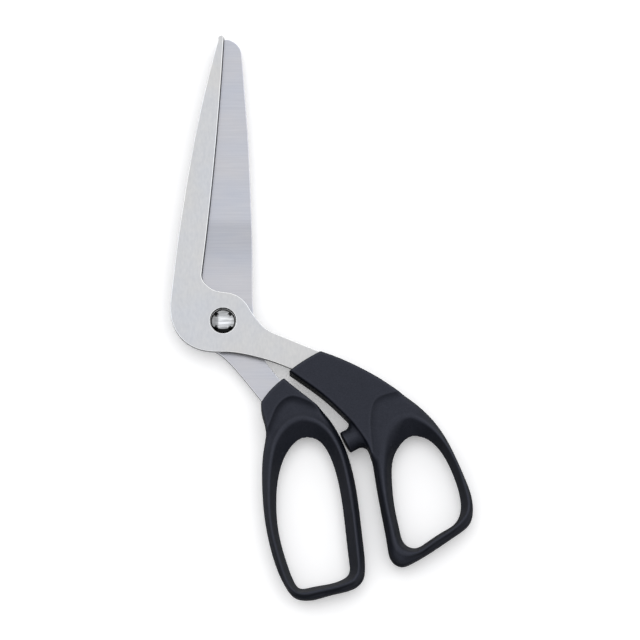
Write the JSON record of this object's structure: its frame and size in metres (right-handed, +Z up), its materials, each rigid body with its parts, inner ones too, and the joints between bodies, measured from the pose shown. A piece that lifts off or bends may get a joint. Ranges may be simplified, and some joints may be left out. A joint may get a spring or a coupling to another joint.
{
  "type": "bent-handle dressmaking shears",
  "caption": "Long bent-handle fabric shears with plain straight edges, moulded loop handles, a stop lug and a screwed pivot; shown closed.",
  "frame": {"origin": "on the pivot's axis, on the plane that the shears lie on, which is the closed end of the lock nut", "axes": "+Y runs from the pivot to the tips of the closed blades, +X towards the side that the handles bend to, +Z up out of the front blade"},
  "size_m": [0.1331, 0.2535, 0.013],
  "materials": {
    "satin_steel": "fine satin along the blade",
    "ground_steel": "ground across the blade",
    "polished_steel": "polished",
    "handle_plastic": "fine matt moulding",
    "nylon": "natural"
  },
  "bodies": {
    "back_half": {"back_blade": "ground_steel", "back_handle": "handle_plastic", "pivot_screw": "polished_steel", "blade_washer": "nylon", "spring_washer": "polished_steel", "lock_nut": "polished_steel"},
    "front_half": {"front_blade": "satin_steel", "front_handle": "handle_plastic", "pivot_bush": "nylon"}
  },
  "joints": [
    {"name": "blade_pivot", "type": "hinge", "parent": "back_half", "child": "front_half", "pos_m": [0, 0, 0.0065], "axis": [0, 0, 1], "range_deg": [0, 80]}
  ]
}
